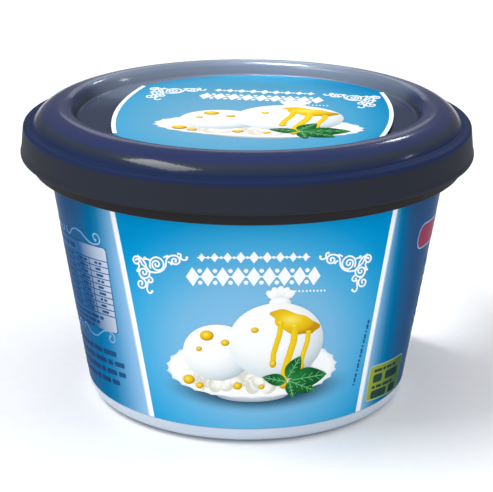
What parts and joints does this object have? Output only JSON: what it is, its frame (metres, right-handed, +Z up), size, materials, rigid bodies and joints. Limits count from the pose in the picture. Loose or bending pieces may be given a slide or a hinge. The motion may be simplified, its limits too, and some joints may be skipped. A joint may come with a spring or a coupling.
{
  "type": "burrata cheese tub",
  "caption": "Round tapered cheese tub, shut by a navy press-on lid with a raised ring round a recessed label, wrapped in a blue printed label above a milky rounded base.",
  "frame": {"origin": "centre of the base, on the plane of the foot ring that the tub stands on", "axes": "+Z up, through the lid's centre; -Y out of the middle of the front panel of the print; +X to the right seen from the front"},
  "size_m": [0.108, 0.108, 0.0718],
  "materials": {
    "tub_plastic": "moulded polypropylene, milky and slightly see-through, satin gloss",
    "label_film": "printed polypropylene film, blue fields that fade lighter towards the middle, white stripes, glossy lacquer",
    "lid_plastic": "moulded polypropylene, dark navy, glossy, with a fine moulded grain"
  },
  "bodies": {
    "root": {"tub": "tub_plastic", "body_label": "label_film", "lid": "lid_plastic", "lid_label": "label_film"}
  },
  "joints": []
}
